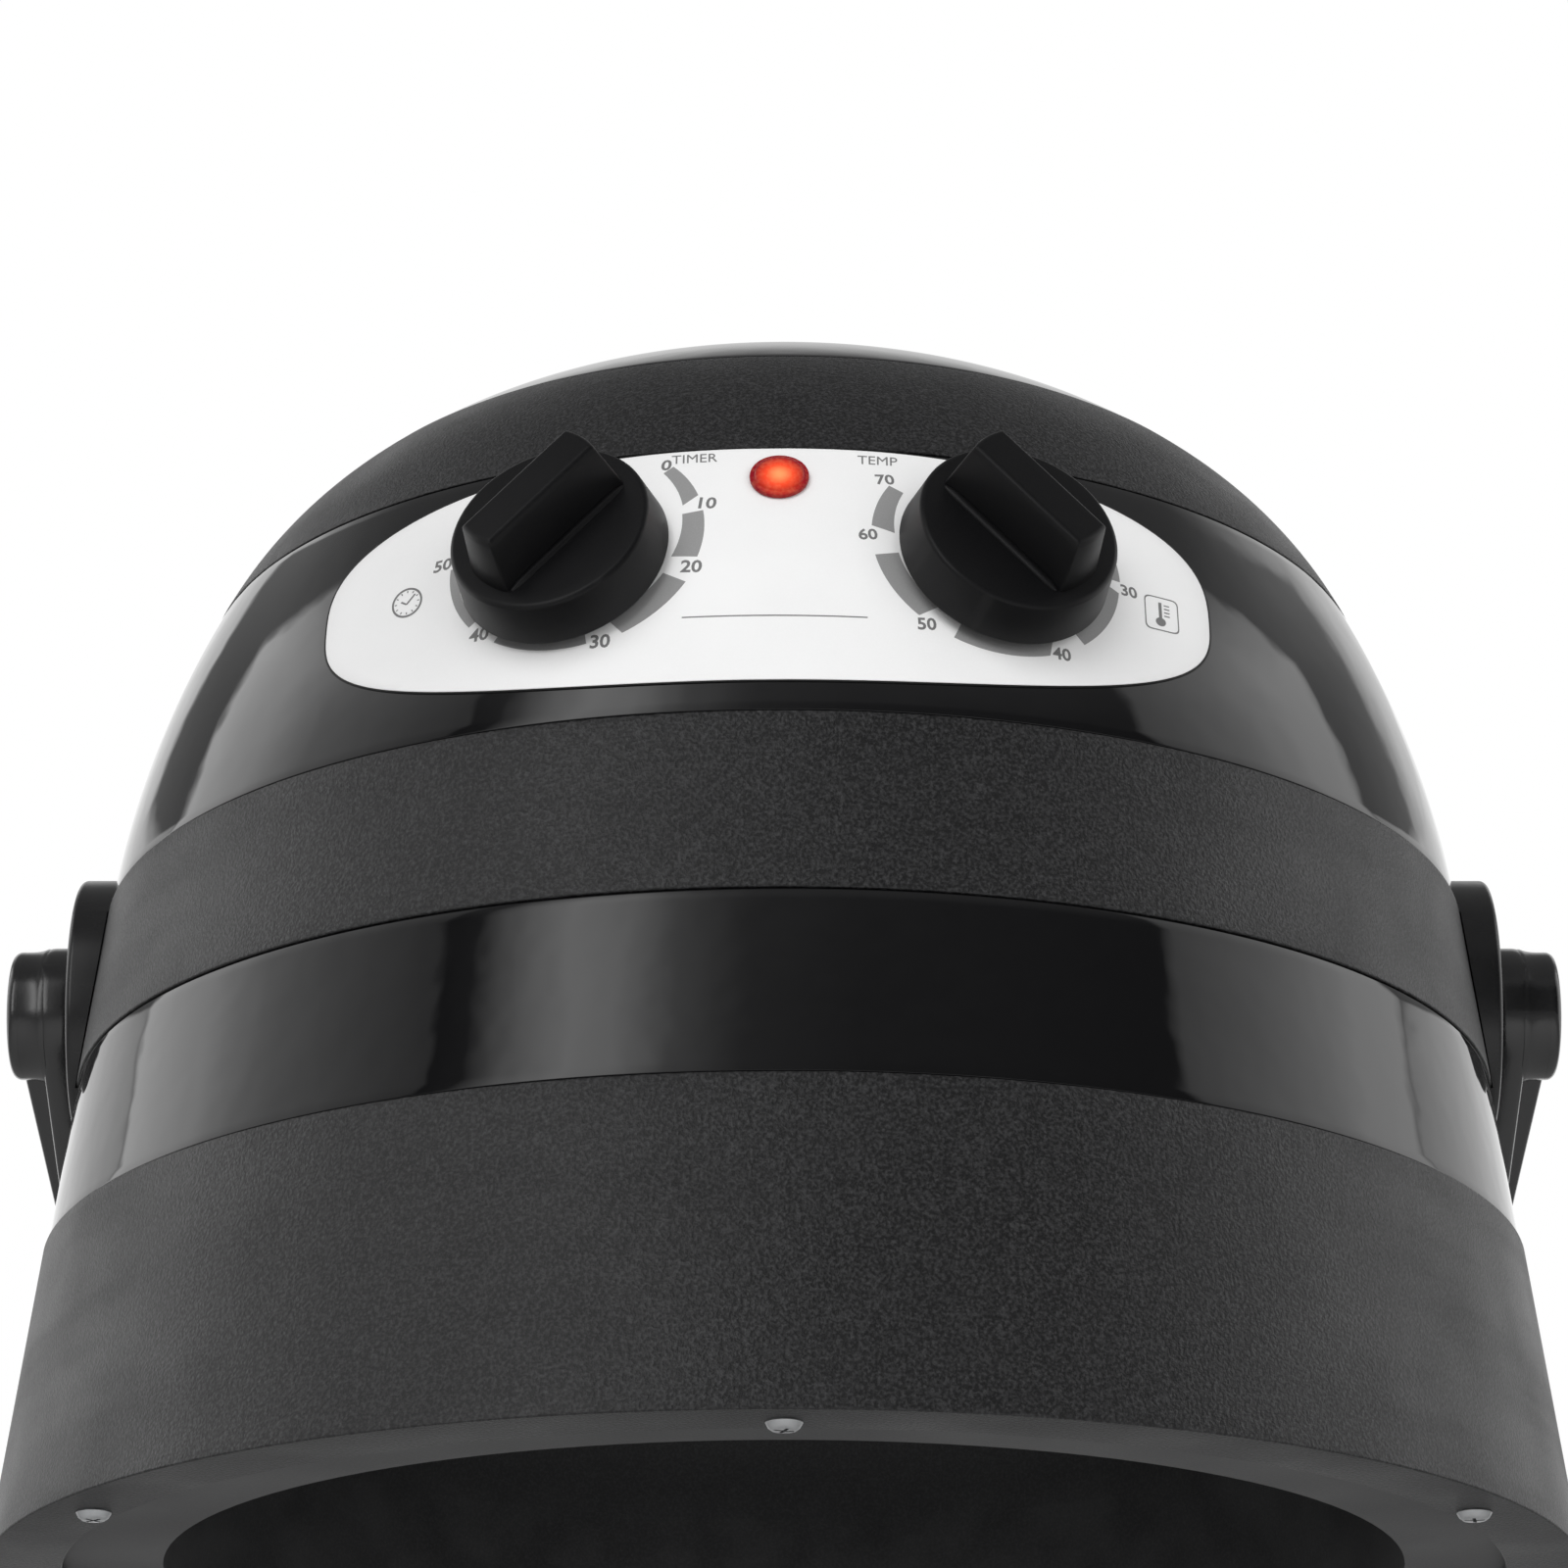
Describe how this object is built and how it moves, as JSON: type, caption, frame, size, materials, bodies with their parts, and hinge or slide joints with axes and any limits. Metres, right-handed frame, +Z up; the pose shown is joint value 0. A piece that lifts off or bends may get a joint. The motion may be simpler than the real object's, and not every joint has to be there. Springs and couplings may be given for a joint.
{
  "type": "hood hair dryer",
  "caption": "Domed salon hair dryer with two front dials, tilting in a yoke on a telescopic pole with a wheeled star base.",
  "frame": {"origin": "where the pole's axis meets the floor", "axes": "+Z up the pole, -Y towards the hood's front and its dials, +X to the right seen from the front"},
  "size_m": [0.5916, 0.7146, 1.4347],
  "materials": {
    "gloss_black": "polished black moulding",
    "grained_grey": "fine spark-eroded grain",
    "satin_black": "satin moulding",
    "inner_plastic": "satin heat-proof moulding",
    "galvanised": "galvanised sheet",
    "motor_steel": "zinc plated can",
    "mica_board": "mica board",
    "heater_wire": "resistance wire, blued",
    "switch_metal": "bright",
    "switch_plastic": "natural nylon",
    "panel_white": "printed film",
    "lamp_red": "clear red lens, lit",
    "knob_black": "satin moulding",
    "yoke_black": "satin glass-filled nylon",
    "zinc_steel": "zinc plated",
    "washer_rubber": "dense rubber",
    "pole_chrome": "bright chrome",
    "base_steel": "black powder coat",
    "castor_black": "nylon",
    "castor_wheel": "hard tread"
  },
  "bodies": {
    "base": {"base_hub": "base_steel", "base_legs": "base_steel", "pole_lower": "pole_chrome", "tube_bush": "switch_plastic", "height_collar": "satin_black"},
    "clamp": {"height_knob": "satin_black"},
    "mast": {"pole_upper": "pole_chrome", "pole_spigot": "zinc_steel", "pole_foot": "satin_black"},
    "yoke": {"yoke_arm_left": "yoke_black", "yoke_arm_right": "yoke_black", "yoke_hub": "yoke_black", "hub_cap": "satin_black", "hub_screws": "zinc_steel", "pivot_bolts": "zinc_steel", "pivot_nuts": "zinc_steel", "pivot_washers": "washer_rubber", "pivot_caps": "yoke_black"},
    "hood": {"crown_cap": "gloss_black", "intake_grille": "satin_black", "shoulder_ring": "grained_grey", "control_shell": "gloss_black", "pivot_band": "grained_grey", "lower_shell": "gloss_black", "skirt_ring": "grained_grey", "inner_shell": "inner_plastic", "inner_wall": "inner_plastic", "air_diffuser": "inner_plastic", "air_deck": "galvanised", "motor_body": "motor_steel", "heater_frame": "mica_board", "heater_coil": "heater_wire", "thermal_cutout": "switch_metal", "timer_body": "switch_plastic", "thermostat_body": "switch_metal", "control_panel": "panel_white", "lamp_lens": "lamp_red", "lamp_body": "switch_plastic", "terminal_block": "switch_plastic", "cord_gland": "satin_black", "pivot_pad_left": "satin_black", "pivot_pad_right": "satin_black", "rim_screws": "zinc_steel"},
    "fan": {"fan_wheel": "switch_plastic", "fan_shaft": "zinc_steel"},
    "timer": {"timer_knob": "knob_black", "timer_spindle": "switch_metal"},
    "temperature": {"temp_knob": "knob_black", "temp_spindle": "switch_metal"},
    "castor_1": {"castor_fork_1": "castor_black"},
    "castor_2": {"castor_fork_2": "castor_black"},
    "castor_3": {"castor_fork_3": "castor_black"},
    "castor_4": {"castor_fork_4": "castor_black"},
    "castor_5": {"castor_fork_5": "castor_black"},
    "wheels_1": {"castor_wheels_1": "castor_wheel"},
    "wheels_2": {"castor_wheels_2": "castor_wheel"},
    "wheels_3": {"castor_wheels_3": "castor_wheel"},
    "wheels_4": {"castor_wheels_4": "castor_wheel"},
    "wheels_5": {"castor_wheels_5": "castor_wheel"}
  },
  "joints": [
    {"name": "height_slide", "type": "slide", "parent": "base", "child": "mast", "axis": [0, 0, 1], "range_m": [-0.2, 0.09]},
    {"name": "height_knob_turn", "type": "hinge", "parent": "base", "child": "clamp", "pos_m": [0, 0, 0.67], "axis": [0, 1, 0], "range_deg": [-360, 0]},
    {"name": "yoke_swivel", "type": "hinge", "parent": "mast", "child": "yoke", "pos_m": [0, 0, 1.13233], "axis": [0, 0, 1], "continuous": true},
    {"name": "hood_tilt", "type": "hinge", "parent": "yoke", "child": "hood", "pos_m": [0, -0.24712, 1.275], "axis": [1, 0, 0], "range_deg": [-40, 15]},
    {"name": "timer_turn", "type": "hinge", "parent": "hood", "child": "timer", "pos_m": [-0.04869, -0.39609, 1.3344], "axis": [-0.2944, -0.9008, 0.3192], "range_deg": [-290, 0]},
    {"name": "temperature_turn", "type": "hinge", "parent": "hood", "child": "temperature", "pos_m": [0.04869, -0.39609, 1.3344], "axis": [0.2944, -0.9008, 0.3192], "range_deg": [0, 240]},
    {"name": "fan_spin", "type": "hinge", "parent": "hood", "child": "fan", "pos_m": [0, -0.24712, 1.37], "axis": [0, 0, 1], "continuous": true},
    {"name": "castor_swivel_1", "type": "hinge", "parent": "base", "child": "castor_1", "pos_m": [0, -0.29, 0.058], "axis": [0, 0, 1], "continuous": true},
    {"name": "castor_roll_1", "type": "hinge", "parent": "castor_1", "child": "wheels_1", "pos_m": [0, -0.273, 0.025], "axis": [1, 0, 0], "continuous": true},
    {"name": "castor_swivel_2", "type": "hinge", "parent": "base", "child": "castor_2", "pos_m": [0.27581, -0.08962, 0.058], "axis": [0, 0, 1], "continuous": true},
    {"name": "castor_roll_2", "type": "hinge", "parent": "castor_2", "child": "wheels_2", "pos_m": [0.27581, -0.07261, 0.025], "axis": [1, 0, 0], "continuous": true},
    {"name": "castor_swivel_3", "type": "hinge", "parent": "base", "child": "castor_3", "pos_m": [0.17046, 0.23461, 0.058], "axis": [0, 0, 1], "continuous": true},
    {"name": "castor_roll_3", "type": "hinge", "parent": "castor_3", "child": "wheels_3", "pos_m": [0.17046, 0.25161, 0.025], "axis": [1, 0, 0], "continuous": true},
    {"name": "castor_swivel_4", "type": "hinge", "parent": "base", "child": "castor_4", "pos_m": [-0.17046, 0.23461, 0.058], "axis": [0, 0, 1], "continuous": true},
    {"name": "castor_roll_4", "type": "hinge", "parent": "castor_4", "child": "wheels_4", "pos_m": [-0.17046, 0.25161, 0.025], "axis": [1, 0, 0], "continuous": true},
    {"name": "castor_swivel_5", "type": "hinge", "parent": "base", "child": "castor_5", "pos_m": [-0.27581, -0.08962, 0.058], "axis": [0, 0, 1], "continuous": true},
    {"name": "castor_roll_5", "type": "hinge", "parent": "castor_5", "child": "wheels_5", "pos_m": [-0.27581, -0.07261, 0.025], "axis": [1, 0, 0], "continuous": true}
  ]
}
